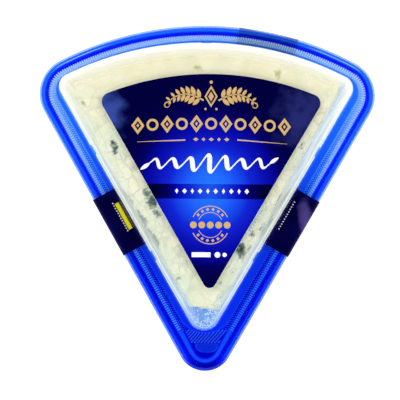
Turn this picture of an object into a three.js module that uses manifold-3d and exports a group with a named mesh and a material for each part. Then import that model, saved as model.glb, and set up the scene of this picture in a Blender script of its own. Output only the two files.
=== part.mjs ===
import * as THREE from 'three';
import { mergeVertices } from 'three/addons/utils/BufferGeometryUtils.js';
import Module from 'manifold-3d';

// A shut portion pack with a wedge of blue cheese in it, lying on its back. A shallow blue tray and a clear
// lid are sealed together round a stepped rim. A front label lies on the lid, and a back label under the
// tray has two arms that come up round the rim and a tab that ends under the rear rim.
//
// Millimetres, +Z up. The tip points to -Y. The origin is under the middle of the pack, on the floor.

const wasm = await Module();
wasm.setup();

const DEGREES = Math.PI / 180;

// ---------------------------------------------------------------- driving dimensions

// Sector outlines: axis is the X of the middle line, apex the Y where the two sides would meet, angle half
// of the angle between them, tip and corner the rounding radii, rear the Y of the rear arc's middle.
const RIM = {
  axis: 0, apex: -71.77, angle: 29.6 * DEGREES, tip: 9.9, corner: 13, rear: 61.63, rearRadius: 114,
};
const LID = {
  axis: -0.5, apex: -53.05, angle: 30 * DEGREES, tip: 6, corner: 5.2, rear: 55.37, rearRadius: 110,
};
const CHEESE = {
  axis: -1.12, apex: -47.5, angle: 29.7 * DEGREES, tip: 4, corner: 5, rear: 53.8, rearRadius: 107.5,
};
const FRONT = {
  axis: 1.31, apex: -33.64, angle: 30 * DEGREES, tip: 2.25, corner: 3.25, rear: 43.5, rearRadius: 97.5,
};

// The cheese lies a little askew in the pack.
const CHEESE_TURN = 0.8 * DEGREES;

const GAP = 0.3;
const TRAY_WALL = 0.45;
const LID_WALL = 0.4;
const PAPER = 0.25;

const FLOOR_TOP = PAPER + GAP + TRAY_WALL;
const PAN_DEPTH = 4.2;
const LAND = FLOOR_TOP + PAN_DEPTH;
const CHEESE_THICKNESS = 17.8;
const CHEESE_BOTTOM = FLOOR_TOP + GAP;
const CHEESE_TOP = CHEESE_BOTTOM + CHEESE_THICKNESS;
const SHOULDER_TOP = CHEESE_TOP + GAP + LID_WALL;
const PANEL_RISE = 0.5;
const PANEL_INSET = 6.5;
const PANEL_TOP = SHOULDER_TOP + PANEL_RISE;

const WALL_DRAFT = 3.5 * DEGREES;
const SHOULDER_RADIUS = 1.8;
const SHOULDER_STEPS = 3;

// Upright notches in the lid's two long walls, by their distance along the side from the lid's apex. They
// are deepest at the foot of the wall.
const NOTCHES = [37.3, 80];
const NOTCH_LENGTH = 4.2;
const NOTCH_RAMP = 0.6;
const NOTCH_DEPTH = 1.0;
const NOTCH_TOP_DEPTH = 0.45;

// A shallower notch in the middle of the rear wall: half widths, and the share of the depth reached there.
const REAR_NOTCH = [[2.1, 0], [1.5, 0.4], [0, 0.4]];

// The seal land is narrower along the rear than along the sides.
const LAND_START = 3.1;
const LAND_END = 6.4;
const REAR_LAND_SHARE = 0.64;
const SHELF_DROP = 0.18;

// Peel pad at the tip, where the seal stops.
const PAD = { x: 0.6, top: -51.8, width: 6.6, height: 3.2, corner: 2.6, rise: 0.3 };

// Arms of the back label, by their distance along the rim's side from its apex, and the tab under the rear
// rim.
const ARM_PLACE = 70.2;
const ARM_WIDTH = 22.6;
const ARM_CLIMB = 11;
const TAB_HEADING = 11.1 * DEGREES;
const TAB_WIDTH = 21.4;
const BACK_PANEL_INSET = 5.4;
const BACK_PANEL_TIP = 3;
const BACK_PANEL_CORNER = 4;
const TAB_END = -2;

// Paper reaches this far in under the pan and leaves the floor there. It stands off the lid's wall and bends
// with a setback.
const PAPER_UNDER_PAN = 8;
const ARM_LEAVES_FLOOR = 1.3;
const TAB_LEAVES_FLOOR = 1.6;
const PAPER_STAND_OFF = 0.35;
const PAPER_BEND = 0.3;
const ARM_FOLD_RISE = LAND - 1.6;
const UNDER_RIM = LAND - 1.35;

// The tip of the cheese has crumbled away along this slanting line: its Y on the middle line, and its slope.
const BLUNT_END = -39.4;
const BLUNT_SLOPE = -0.156;

// Cut edges of the cheese, from a face inwards: a distance from the face and an inset.
const CHEESE_EDGE = [[0, 1.15], [0.9, 0.35], [2.2, 0]];

const TIP_STEPS = 5;
const CORNER_STEPS = 5;
const REAR_STEPS = 7;

// ---------------------------------------------------------------- outlines and lofts

function arcPoints(centre, radius, from, to, steps) {
  return new THREE.EllipseCurve(centre.x, centre.y, radius, radius, from, to).getPoints(steps);
}

// The right half of a sector outline runs from the tip's middle to the rear's middle, and the left half
// mirrors it. Every outline has the same number of points, so any two of them can be joined by a skin.
function sectorRing(outline, z, dent = 0) {
  const { axis, apex, angle, tip, corner, rear, rearRadius } = outline;
  const along = new THREE.Vector2(Math.sin(angle), Math.cos(angle));
  const inward = new THREE.Vector2(-Math.cos(angle), Math.sin(angle));
  const tipCentre = new THREE.Vector2(0, apex + tip / Math.sin(angle));
  const rearCentre = new THREE.Vector2(0, rear - rearRadius);

  // The corner's centre is one corner radius inside the side, and as far inside the rear arc.
  const start = new THREE.Vector2(0, apex).addScaledVector(inward, corner);
  const offset = start.clone().sub(rearCentre);
  const lean = offset.dot(along);
  const reach = Math.sqrt(lean ** 2 - offset.lengthSq() + (rearRadius - corner) ** 2) - lean;
  const cornerCentre = start.clone().addScaledVector(along, reach);
  const cornerEnd = Math.atan2(cornerCentre.y - rearCentre.y, cornerCentre.x);

  const side = [];
  for (const place of NOTCHES) {
    const half = NOTCH_LENGTH / 2;
    const stops = [[-half, 0], [NOTCH_RAMP - half, 1], [half - NOTCH_RAMP, 1], [half, 0]];
    for (const [shift, share] of stops) {
      const distance = place + shift - (apex - LID.apex) * Math.cos(angle);
      const point = new THREE.Vector2(0, apex).addScaledVector(along, distance);
      side.push(point.addScaledVector(inward, dent * share));
    }
  }

  const notch = REAR_NOTCH.map(([half, share]) => {
    const turn = Math.PI / 2 - half / rearRadius;
    const radius = rearRadius - dent * share;
    return new THREE.Vector2(Math.cos(turn), Math.sin(turn)).multiplyScalar(radius).add(rearCentre);
  });

  const notchStart = Math.PI / 2 - REAR_NOTCH[0][0] / rearRadius;
  const right = [
    ...arcPoints(tipCentre, tip, -Math.PI / 2, -angle, TIP_STEPS),
    ...side,
    ...arcPoints(cornerCentre, corner, -angle, cornerEnd, CORNER_STEPS),
    ...arcPoints(rearCentre, rearRadius, cornerEnd, notchStart, REAR_STEPS).slice(1, -1),
    ...notch,
  ];
  const left = right.slice(1, -1).reverse().map((point) => new THREE.Vector2(-point.x, point.y));
  return [...right, ...left].map((point) => new THREE.Vector3(point.x + axis, point.y, z));
}

// A closed body through rings of equal length, with a flat cap on the first and the last.
function loft(rings) {
  const count = rings[0].length;
  const faces = [];
  for (let ring = 0; ring < rings.length - 1; ring += 1) {
    for (let i = 0; i < count; i += 1) {
      const near = ring * count + i;
      const next = ring * count + (i + 1) % count;
      faces.push(near, next, next + count, near, next + count, near + count);
    }
  }
  const lastRing = (rings.length - 1) * count;
  for (const [a, b, c] of THREE.ShapeUtils.triangulateShape(rings[0], [])) {
    faces.push(a, c, b);
  }
  for (const [a, b, c] of THREE.ShapeUtils.triangulateShape(rings[rings.length - 1], [])) {
    faces.push(lastRing + a, lastRing + b, lastRing + c);
  }
  const geometry = new THREE.BufferGeometry().setFromPoints(rings.flat());
  geometry.setIndex(faces);
  return geometry;
}

function plate(outline, bottom, top) {
  return loft([sectorRing(outline, bottom), sectorRing(outline, top)]);
}

// ---------------------------------------------------------------- joining and cutting

function toSolid(geometry) {
  const bare = geometry.clone();
  bare.deleteAttribute('normal');
  bare.deleteAttribute('uv');
  const merged = mergeVertices(bare, 1e-4);
  const vertProperties = new Float32Array(merged.attributes.position.array);
  const triVerts = new Uint32Array(merged.index.array);
  return new wasm.Manifold(new wasm.Mesh({ numProp: 3, vertProperties, triVerts }));
}

function toGeometry(solid) {
  const { vertProperties, triVerts } = solid.getMesh();
  const geometry = new THREE.BufferGeometry();
  geometry.setAttribute('position', new THREE.BufferAttribute(new Float32Array(vertProperties), 3));
  geometry.setIndex(new THREE.BufferAttribute(new Uint32Array(triVerts), 1));
  return geometry;
}

// ---------------------------------------------------------------- formed sheets

// A station is one place on a sheet's section: an inset from the rim's or the lid's outline, and a height.
function rimStation(inset, z, tip) {
  return { family: 'rim', inset, z, tip };
}

function lidStation(inset, z, dent = 0) {
  return { family: 'lid', inset, z, dent };
}

const LID_FROM_RIM = 8.7;

function across(station) {
  return station.family === 'lid' ? station.inset + LID_FROM_RIM : station.inset;
}

// The side of a sheet that faces down and in, one thickness away from the stations of its upper side.
function otherSide(stations, thickness, ending) {
  const run = (from, to) => new THREE.Vector2(across(to) - across(from), to.z - from.z).normalize();
  const last = stations.length - 1;
  return stations.map((station, index) => {
    const into = index > 0 ? run(stations[index - 1], station) : run(station, stations[1]);
    const outOf = index < last ? run(station, stations[index + 1]) : ending ?? into;
    const middle = into.clone().add(outOf).normalize();
    const reach = thickness / middle.dot(outOf);
    const shift = middle.y * reach;
    return {
      ...station,
      inset: station.inset + shift,
      z: station.z - middle.x * reach,
      tip: station.tip && station.tip - shift,
    };
  });
}

const SMALLEST_TIP = 3.5;
const SMALLEST_CORNER = 3;

function stationRing({ family, inset, z, tip, dent }) {
  const base = family === 'rim' ? RIM : LID;
  const rearInset = family === 'rim' ? rimRearInset(inset) : inset;
  const outline = {
    ...base,
    apex: base.apex + inset / Math.sin(base.angle),
    tip: tip ?? Math.max(base.tip - inset, SMALLEST_TIP),
    corner: Math.max(base.corner - inset, SMALLEST_CORNER),
    rear: base.rear - rearInset,
    rearRadius: base.rearRadius - rearInset,
  };
  return sectorRing(outline, z, dent);
}

function rimRearInset(inset) {
  return inset <= LAND_START ? inset : LAND_START + (inset - LAND_START) * REAR_LAND_SHARE;
}

function formedSheet(upper, thickness) {
  const lower = otherSide(upper, thickness, new THREE.Vector2(1, 0));
  return loft([...lower.reverse(), ...upper].map(stationRing));
}

// Both rims step up from their edge to a bead, down into a crease and up to the flat land of the seal.
// Each row is an inset from the rim's outline, a height over the tray's land, and the tip's radius there.
const LID_LIFT = GAP + LID_WALL;
const BEAD_TOP = 0.95;
const TRAY_RIM = [
  [0.45, -0.6, 9.5], [0.7, -0.6, 9.2], [1.05, 0.25, 8.8], [2, 0.25, 7.8], [2.3, -0.4, 7.4],
  [2.75, -0.4, 7], [LAND_START, 0, 6.6],
  [LAND_END, 0, 10.4], [LAND_END + 0.15, -SHELF_DROP, 10.3],
];
const LID_RIM = [
  [0, 0.1, 9.9], [0.4, 0.1, 9.5], [0.75, BEAD_TOP, 9.1], [2.25, BEAD_TOP, 7.5], [2.55, 0.45, 7.15],
  [2.75, 0.45, 7], [LAND_START - 0.05, LID_LIFT, 6.65],
  [LAND_END, LID_LIFT, 10.4], [LAND_END + 0.1, LID_LIFT - SHELF_DROP, 10.35],
];

// The pan inside the tray's shelf: an inset from the lid's outline, and a height.
const PAN = [
  [0.4, LAND - SHELF_DROP], [0.8, LAND - 0.45], [1, LAND - 1],
  [1.5, FLOOR_TOP + 0.7], [1.75, FLOOR_TOP + 0.15], [2.3, FLOOR_TOP],
];

// The lid's wall rises from a small step in its flange.
const WALL_STEP = -0.2;
const WALL_START = -0.05;
const WALL_START_RISE = 0.1;
const WALL_FOOT_RISE = 0.5;

function rimStations(rows) {
  return rows.map(([inset, rise, tip]) => rimStation(inset, LAND + rise, tip));
}

function makeTray() {
  return formedSheet([
    ...rimStations(TRAY_RIM),
    ...PAN.map(([inset, z]) => lidStation(inset, z)),
  ], TRAY_WALL);
}

const FLANGE = LAND + LID_LIFT;

function makeLid() {
  const wallFoot = FLANGE + WALL_FOOT_RISE;
  const wallTop = SHOULDER_TOP - SHOULDER_RADIUS;
  const wallInset = (wallTop - wallFoot) * Math.tan(WALL_DRAFT);
  const shoulder = [];
  for (let step = 1; step <= SHOULDER_STEPS; step += 1) {
    const turn = (step / SHOULDER_STEPS) * Math.PI / 2;
    const inset = wallInset + SHOULDER_RADIUS * (1 - Math.cos(turn));
    const z = wallTop + SHOULDER_RADIUS * Math.sin(turn);
    shoulder.push(lidStation(inset, z, NOTCH_TOP_DEPTH * Math.cos(turn)));
  }
  const shell = formedSheet([
    ...rimStations(LID_RIM),
    lidStation(WALL_STEP, FLANGE - SHELF_DROP),
    lidStation(WALL_START, FLANGE + WALL_START_RISE, NOTCH_DEPTH),
    lidStation(0, wallFoot, NOTCH_DEPTH),
    lidStation(wallInset, wallTop, NOTCH_TOP_DEPTH),
    ...shoulder,
    lidStation(PANEL_INSET - PANEL_RISE, SHOULDER_TOP),
    lidStation(PANEL_INSET, PANEL_TOP),
  ], LID_WALL);
  return toGeometry(toSolid(shell).add(toSolid(makePad())));
}

// A D with its straight edge towards the cheese.
function makePad() {
  const { x, top, width, height, corner, rise } = PAD;
  const shape = new THREE.Shape();
  shape.moveTo(-width / 2, 0);
  shape.absarc(corner - width / 2, corner - height, corner, Math.PI, Math.PI * 1.5, false);
  shape.absarc(width / 2 - corner, corner - height, corner, Math.PI * 1.5, Math.PI * 2, false);
  shape.lineTo(width / 2, 0);
  const sunk = LID_WALL / 2;
  const options = { depth: sunk + rise, bevelEnabled: false, curveSegments: 4 };
  const pad = new THREE.ExtrudeGeometry(shape, options);
  return pad.translate(x, top, FLANGE - sunk);
}

// ---------------------------------------------------------------- the cheese

// Cut sides are slightly wavy, and the crumbled end is uneven.
function cheeseRing(inset, z) {
  const outline = {
    ...CHEESE,
    apex: CHEESE.apex + inset / Math.sin(CHEESE.angle),
    rear: CHEESE.rear - inset,
    rearRadius: CHEESE.rearRadius - inset,
  };
  const up = new THREE.Vector3(0, 0, 1);
  return sectorRing(outline, z).map((corner) => {
    const point = corner.applyAxisAngle(up, CHEESE_TURN);
    const wave = 0.12 * Math.sin(point.y * 0.55 + z * 0.4) + 0.08 * Math.sin(point.y * 1.3 - z * 0.9);
    const x = point.x + wave;
    const crumb = 0.45 * Math.sin(x * 1.7 + z * 0.5) + 0.3 * Math.sin(x * 3.1 - z * 0.8);
    return new THREE.Vector3(x, Math.max(point.y, BLUNT_END + inset + crumb + BLUNT_SLOPE * x), z);
  });
}

function makeCheese() {
  const middle = (CHEESE_BOTTOM + CHEESE_TOP) / 2;
  return loft([
    ...CHEESE_EDGE.map(([rise, inset]) => cheeseRing(inset, CHEESE_BOTTOM + rise)),
    cheeseRing(0, middle),
    ...CHEESE_EDGE.map(([rise, inset]) => cheeseRing(inset, CHEESE_TOP - rise)).reverse(),
  ]);
}

// ---------------------------------------------------------------- the labels

// A strip of paper, as a section that is drawn from the inside of the pack outwards and pushed out to its
// width. The section's X is an inset from the rim's edge. heading points into the pack.
function paperStrip(section, width, edge, heading) {
  const upper = section.map(([inset, z]) => rimStation(inset, z));
  const lower = otherSide(upper, PAPER);
  const points = [...upper, ...lower.reverse()].map(({ inset, z }) => new THREE.Vector2(inset, z));
  const options = { depth: width, bevelEnabled: false };
  const strip = new THREE.ExtrudeGeometry(new THREE.Shape(points), options);
  const inward = new THREE.Vector3(heading.x, heading.y, 0);
  const up = new THREE.Vector3(0, 0, 1);
  const sideways = inward.clone().cross(up);
  const origin = new THREE.Vector3(edge.x, edge.y, 0).addScaledVector(sideways, -width / 2);
  return strip.applyMatrix4(new THREE.Matrix4().makeBasis(inward, up, sideways).setPosition(origin));
}

// From under the pan, out to the rim's edge, round it, over the bead and the land, and up the lid's wall.
function makeArm(side) {
  const heading = new THREE.Vector2(-side * Math.cos(RIM.angle), Math.sin(RIM.angle));
  const edge = new THREE.Vector2(side * Math.sin(RIM.angle), Math.cos(RIM.angle)).multiplyScalar(ARM_PLACE);
  edge.y += RIM.apex;
  const fromLid = new THREE.Vector2(edge.x - LID.axis, edge.y - LID.apex);
  const foot = Math.abs(fromLid.x) * Math.cos(LID.angle) - fromLid.y * Math.sin(LID.angle);
  const beadTop = LAND + BEAD_TOP + GAP + PAPER;
  const landTop = FLANGE + GAP + PAPER;
  const climb = foot - PAPER_STAND_OFF - PAPER;
  const section = [
    [foot + PAPER_UNDER_PAN, 0],
    [foot + ARM_LEAVES_FLOOR, 0],
    [-GAP - PAPER, ARM_FOLD_RISE],
    [-GAP - PAPER, FLANGE - 0.1],
    [0.6, beadTop],
    [2.6, beadTop],
    [LAND_START + 1, landTop],
    [climb - PAPER_BEND, landTop],
    [climb, landTop + WALL_FOOT_RISE],
    [climb + ARM_CLIMB * Math.tan(WALL_DRAFT), landTop - PAPER + ARM_CLIMB],
  ];
  return paperStrip(section, ARM_WIDTH, edge, heading);
}

// Up the outside of the pan and flat under the rear rim, cut off along the rim's edge.
function makeTab() {
  const outwards = new THREE.Vector2(Math.sin(TAB_HEADING), Math.cos(TAB_HEADING));
  const centre = new THREE.Vector2(0, RIM.rear - RIM.rearRadius);
  const edge = centre.addScaledVector(outwards, RIM.rearRadius);
  const foot = RIM.rear - LID.rear;
  const section = [
    [foot + PAPER_UNDER_PAN, 0],
    [foot + TAB_LEAVES_FLOOR, 0],
    [foot + 0.55, 0.7],
    [foot - 0.1, UNDER_RIM - PAPER],
    [TAB_END, UNDER_RIM - PAPER],
  ];
  const strip = paperStrip(section, TAB_WIDTH, edge, outwards.clone().negate());
  return toSolid(strip).intersect(toSolid(plate(RIM, -1, LAND)));
}

function makeBackLabel() {
  const outline = {
    ...LID,
    apex: LID.apex + BACK_PANEL_INSET / Math.sin(LID.angle),
    tip: BACK_PANEL_TIP,
    corner: BACK_PANEL_CORNER,
    rear: LID.rear - BACK_PANEL_INSET,
    rearRadius: LID.rearRadius - BACK_PANEL_INSET,
  };
  const panel = toSolid(plate(outline, 0, PAPER));
  const arms = [-1, 1].map((side) => toSolid(makeArm(side)));
  return toGeometry(panel.add(arms[0]).add(arms[1]).add(makeTab()));
}

function makeFrontLabel() {
  const bottom = PANEL_TOP + GAP;
  return plate(FRONT, bottom, bottom + PAPER);
}

// ---------------------------------------------------------------- the pack

function finish(color, roughness, opacity = 1) {
  const transparent = opacity < 1;
  return new THREE.MeshStandardMaterial({ color, roughness, opacity, transparent, metalness: 0 });
}

const pieces = [
  ['tray', makeTray(), finish(0x1c4fe6, 0.25)],
  ['cheese', makeCheese(), finish(0xeeecd2, 0.6)],
  ['lid', makeLid(), finish(0xf4faff, 0.08, 0.3)],
  ['front_label', makeFrontLabel(), finish(0x0a1290, 0.2)],
  ['back_label', makeBackLabel(), finish(0x06043a, 0.25)],
];

const pack = new THREE.Group();
for (const [name, geometry, material] of pieces) {
  const mesh = new THREE.Mesh(geometry, material);
  mesh.name = name;
  pack.add(mesh);
}

export default pack;
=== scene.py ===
import math
from functools import partial

import bmesh
import bpy
import numpy as np
from mathutils import Euler, Matrix, Vector, noise


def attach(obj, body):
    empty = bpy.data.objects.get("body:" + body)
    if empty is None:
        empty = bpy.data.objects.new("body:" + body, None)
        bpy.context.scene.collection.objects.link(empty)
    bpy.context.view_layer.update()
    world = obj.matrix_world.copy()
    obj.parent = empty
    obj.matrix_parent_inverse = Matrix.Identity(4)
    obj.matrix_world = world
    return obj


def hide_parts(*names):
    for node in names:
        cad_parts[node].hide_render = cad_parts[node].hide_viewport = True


# A shut portion pack of blue cheese, lying on its back: a blue tray, a clear lid, the wedge, a front label,
# and a back label with two arms and a tab. Sizes are in millimetres until a mesh is finished.

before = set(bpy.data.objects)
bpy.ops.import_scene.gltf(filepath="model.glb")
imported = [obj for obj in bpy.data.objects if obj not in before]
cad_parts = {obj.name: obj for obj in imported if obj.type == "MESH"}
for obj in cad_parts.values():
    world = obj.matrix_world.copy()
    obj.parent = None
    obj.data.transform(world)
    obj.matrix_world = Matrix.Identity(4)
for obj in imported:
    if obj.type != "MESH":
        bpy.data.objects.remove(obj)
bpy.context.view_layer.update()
bpy.ops.object.select_all(action="DESELECT")

MM = 0.001
rng = np.random.default_rng(11)

# ---------------------------------------------------------------- sizes, as in the CAD part

RIM = dict(axis=0, apex=-71.77, angle=29.6, tip=9.9, corner=13, rear=61.63, rear_radius=114)
LID = dict(axis=-0.5, apex=-53.05, angle=30, tip=6, corner=5.2, rear=55.37, rear_radius=110)
CHEESE = dict(axis=-1.12, apex=-47.5, angle=29.7, tip=4, corner=5, rear=53.8, rear_radius=107.5)
FRONT = dict(axis=1.31, apex=-33.64, angle=30, tip=2.25, corner=3.25, rear=43.5, rear_radius=97.5)

GAP = 0.3
TRAY_WALL = 0.45
LID_WALL = 0.4
PAPER = 0.25
FLOOR_TOP = 1.0
LAND = 5.2
LID_LIFT = GAP + LID_WALL
FLANGE = LAND + LID_LIFT
CHEESE_BOTTOM = 1.3
CHEESE_TOP = 19.1
SHOULDER_TOP = 19.8
PANEL_TOP = 20.3
PANEL_INSET = 6.5
BEAD_RISE = 0.95
WALL_DRAFT = math.radians(3.5)
SHOULDER_RADIUS = 1.8
NOTCHES = (37.3, 80)
NOTCH_LENGTH = 4.2
NOTCH_RAMP = 0.6
NOTCH_DEPTH = 1.0
NOTCH_TOP_DEPTH = 0.45
REAR_NOTCH = 2.1
REAR_NOTCH_SHARE = 0.4
LAND_START = 3.1
LAND_END = 6.4
REAR_LAND_SHARE = 0.64
SHELF_DROP = 0.18
LID_FROM_RIM = 8.7
SMALLEST_TIP = 3.5
SMALLEST_CORNER = 3
CHEESE_TURN = math.radians(0.8)
CHEESE_EDGE = ((0, 1.15), (0.9, 0.35), (2.2, 0))
BLUNT_END = -39.4
BLUNT_SLOPE = -0.156

# How finely an outline is drawn: steps of a corner and of the rear arc, points of a side's stretch, and the
# shares of a notch's ramp.
CORNER_STEPS = 12
REAR_STEPS = 24
SIDE_POINTS = 9
RAMP = np.linspace(0, 1, 5)

# ---------------------------------------------------------------- outlines


def smooth(share):
    share = np.clip(share, 0, 1)
    return share * share * (3 - 2 * share)


def arc(centre, radius, start, end, steps):
    turn = np.linspace(start, end, steps + 1)
    return np.array(centre) + radius * np.stack([np.cos(turn), np.sin(turn)], 1)


def side_stops(start, end, middles):
    """Distances along a side, and how far into a notch each of them lies."""
    stops, shares = [np.array([start])], [np.zeros(1)]
    for middle in middles:
        first, last = middle - NOTCH_LENGTH / 2, middle + NOTCH_LENGTH / 2
        stretch = np.linspace(start, first, SIDE_POINTS)[1:-1]
        stops += [stretch, first + NOTCH_RAMP * RAMP, last - NOTCH_RAMP * RAMP[::-1]]
        shares += [0 * stretch, smooth(RAMP), smooth(RAMP[::-1])]
        start = last
    stretch = np.linspace(start, end, SIDE_POINTS)[1:]
    return np.concatenate([*stops, stretch]), np.concatenate([*shares, 0 * stretch])


def sector(axis, apex, angle, tip, corner, rear, rear_radius, dent=0.0):
    """A sector outline, anticlockwise from the middle of its tip. All outlines have as many points."""
    angle = math.radians(angle)
    along = np.array([math.sin(angle), math.cos(angle)])
    inward = np.array([-math.cos(angle), math.sin(angle)])
    point = np.array([0, apex])
    rear_centre = np.array([0, rear - rear_radius])
    offset = point + inward * corner - rear_centre
    lean = offset @ along
    reach = math.sqrt(lean**2 - offset @ offset + (rear_radius - corner) ** 2) - lean
    corner_centre = point + inward * corner + along * reach
    corner_end = math.atan2(*(corner_centre - rear_centre)[::-1])
    half = np.array([*(REAR_NOTCH - NOTCH_RAMP * RAMP), 0.7, 0])
    share = REAR_NOTCH_SHARE * np.array([*smooth(RAMP), 1, 1])
    turn = math.pi / 2 - half / rear_radius
    notch = rear_centre + (rear_radius - dent * share)[:, None] * np.stack([np.cos(turn), np.sin(turn)], 1)
    shift = (apex - LID["apex"]) * math.cos(angle)
    stops, shares = side_stops(tip / math.tan(angle), reach, [place - shift for place in NOTCHES])
    side = point + stops[:, None] * along + shares[:, None] * dent * inward
    right = np.concatenate([
        arc((0, apex + tip / math.sin(angle)), tip, -math.pi / 2, -angle, CORNER_STEPS)[:-1],
        side[:-1],
        arc(corner_centre, corner, -angle, corner_end, CORNER_STEPS)[:-1],
        arc(rear_centre, rear_radius, corner_end, turn[0], REAR_STEPS)[:-1],
        notch,
    ])
    left = right[1:-1][::-1] * (-1, 1)
    return np.concatenate([right, left]) + (axis, 0)


def shrunk(outline, inset, rear_inset=None, **changed):
    """A sector moved in by an inset, which may be another one at the rear."""
    if rear_inset is None:
        rear_inset = inset
    return sector(**dict(
        outline,
        apex=outline["apex"] + inset / math.sin(math.radians(outline["angle"])),
        rear=outline["rear"] - rear_inset,
        rear_radius=outline["rear_radius"] - rear_inset,
        **changed,
    ))


def past_side(outline, x, y):
    """How far points lie outside a sector's slanting sides."""
    turn = math.radians(outline["angle"])
    return np.abs(x - outline["axis"]) * math.cos(turn) - (y - outline["apex"]) * math.sin(turn)


def inside(points, outline):
    """Which points lie within a closed outline."""
    x, y = points[:, 0, None], points[:, 1, None]
    x0, y0 = outline[:, 0], outline[:, 1]
    x1, y1 = np.roll(x0, -1), np.roll(y0, -1)
    crossed = (y0 > y) != (y1 > y)
    rise = np.where(y1 == y0, 1, y1 - y0)
    return (crossed & (x < (x1 - x0) * (y - y0) / rise + x0)).sum(1) % 2 == 1


def at_height(outline, z, tone=0.0):
    """A ring of points: x, y, z and a tone, which the film's material reads."""
    return np.column_stack([outline, np.full(len(outline), z), np.full(len(outline), tone)])


# A station is one place on a film's section: an inset from the rim's or the lid's outline, a height and a
# tone. A tone is one number, a list of pairs of Y and tone, or four numbers: at the rear, high and low on the
# sides, and at the tip. Y of the four, with the low one held over a stretch:
TONE_PLACES = dict(rim=(-59.5, -56.5, -26, 18, 44), lid=(-46.5, -35, -26, 18, 40))


def rim_station(inset, z, tone, tip=None):
    return dict(family="rim", inset=inset, z=z, tone=tone, tip=tip, dent=0)


def lid_station(inset, z, tone, dent=0):
    return dict(family="lid", inset=inset, z=z, tone=tone, tip=None, dent=dent)


def station_ring(family, inset, z, tone, tip, dent):
    base = RIM if family == "rim" else LID
    rear_inset = inset
    if family == "rim" and inset > LAND_START:
        rear_inset = LAND_START + (inset - LAND_START) * REAR_LAND_SHARE
    outline = shrunk(
        base, inset, rear_inset, dent=dent,
        tip=tip or max(base["tip"] - inset, SMALLEST_TIP),
        corner=max(base["corner"] - inset, SMALLEST_CORNER),
    )
    ring = at_height(outline, z)
    if isinstance(tone, list):
        ring[:, 3] = np.interp(outline[:, 1], *zip(*tone))
    else:
        rear, high, low, end = (tone,) * 4 if np.isscalar(tone) else tone
        ring[:, 3] = np.interp(outline[:, 1], TONE_PLACES[family], (end, low, low, high, rear))
    return ring


def other_side(stations, thickness):
    """The stations of a film's lower side, one thickness away from its upper side, which ends level."""
    across = [s["inset"] + (LID_FROM_RIM if s["family"] == "lid" else 0) for s in stations]
    runs = np.diff(np.column_stack([across, [s["z"] for s in stations]]), axis=0)
    runs /= np.linalg.norm(runs, axis=1)[:, None]
    into = np.vstack([runs[:1], runs])
    onward = np.vstack([runs, [(1, 0)]])
    middle = into + onward
    middle /= np.linalg.norm(middle, axis=1)[:, None]
    reach = thickness / (middle * onward).sum(1)
    return [
        dict(s, inset=s["inset"] + m[1] * r, z=s["z"] - m[0] * r, tip=s["tip"] and s["tip"] - m[1] * r)
        for s, m, r in zip(stations, middle, reach)
    ]


NEARLY_STRAIGHT = -0.985


def eased(rings, radius):
    """Turns each sharp bend of a section into a short curve."""
    out = [rings[0]]
    for before, here, after in zip(rings, rings[1:], rings[2:]):
        back, onward = before - here, after - here
        long_back = np.median(np.linalg.norm(back[:, :3], axis=1))
        long_onward = np.median(np.linalg.norm(onward[:, :3], axis=1))
        bend = np.median((back * onward)[:, :3].sum(1)) / (long_back * long_onward)
        if bend < NEARLY_STRAIGHT:
            out.append(here)
            continue
        start = here + back * min(0.4, radius / long_back)
        end = here + onward * min(0.4, radius / long_onward)
        for t in (0, 1 / 3, 2 / 3, 1):
            out.append((1 - t) ** 2 * start + 2 * t * (1 - t) * here + t * t * end)
    return out + [rings[-1]]


# ---------------------------------------------------------------- modelling


def only(piece):
    bpy.ops.object.select_all(action="DESELECT")
    piece.select_set(True)
    bpy.context.view_layer.objects.active = piece
    return piece


def modified(piece, kind, **settings):
    only(piece)
    modifier = piece.modifiers.new(kind.title(), kind)
    for name, value in settings.items():
        setattr(modifier, name, value)
    bpy.ops.object.modifier_apply(modifier=modifier.name)
    return piece


def drawn_on(name, rings, holed=False):
    """A closed body, pulled on from outline to outline, with its ends filled or, round a hole, bridged."""
    bpy.ops.mesh.primitive_circle_add(vertices=len(rings[0]), radius=RIM["rear"])
    piece = bpy.context.object
    piece.name = name
    bpy.ops.object.mode_set(mode="EDIT")
    body = bmesh.from_edit_mesh(piece.data)
    place = body.verts.layers.int.new("place")
    tone = body.verts.layers.float.new("tone")
    for i, vertex in enumerate(body.verts):
        vertex[place] = i
        vertex.co = rings[0][i][:3]
        vertex[tone] = rings[0][i][3]
    for ring in rings[1:]:
        bpy.ops.mesh.extrude_region_move()
        body = bmesh.from_edit_mesh(piece.data)
        place = body.verts.layers.int["place"]
        tone = body.verts.layers.float["tone"]
        for vertex in body.verts:
            if vertex.select:
                vertex.co = ring[vertex[place]][:3]
                vertex[tone] = ring[vertex[place]][3]
        bmesh.update_edit_mesh(piece.data)
    if not holed:
        bpy.ops.mesh.edge_face_add()
    bpy.ops.mesh.select_all(action="DESELECT")
    bpy.ops.mesh.select_non_manifold()
    if holed:
        bpy.ops.mesh.bridge_edge_loops()
    else:
        bpy.ops.mesh.edge_face_add()
    bpy.ops.mesh.select_all(action="SELECT")
    bpy.ops.mesh.normals_make_consistent(inside=False)
    bpy.ops.object.mode_set(mode="OBJECT")
    return piece


def strip(name, rows):
    """An open sheet through rows of points, from a grid that is laid on them."""
    rows = np.array(rows)
    bpy.ops.mesh.primitive_grid_add(x_subdivisions=rows.shape[1] - 1, y_subdivisions=rows.shape[0] - 1)
    piece = bpy.context.object
    piece.name = name
    piece.data.vertices.foreach_set("co", rows.reshape(-1))
    piece.data.update()
    return piece


def shaded(piece, angle=35):
    only(piece)
    bpy.ops.object.shade_smooth_by_angle(angle=math.radians(angle))
    return modified(piece, "WEIGHTED_NORMAL", keep_sharp=True)


def joined(name, parts):
    only(parts[0])
    for part in parts:
        part.select_set(True)
    if len(parts) > 1:
        bpy.ops.object.join()
    parts[0].name = name
    return parts[0]


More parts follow.
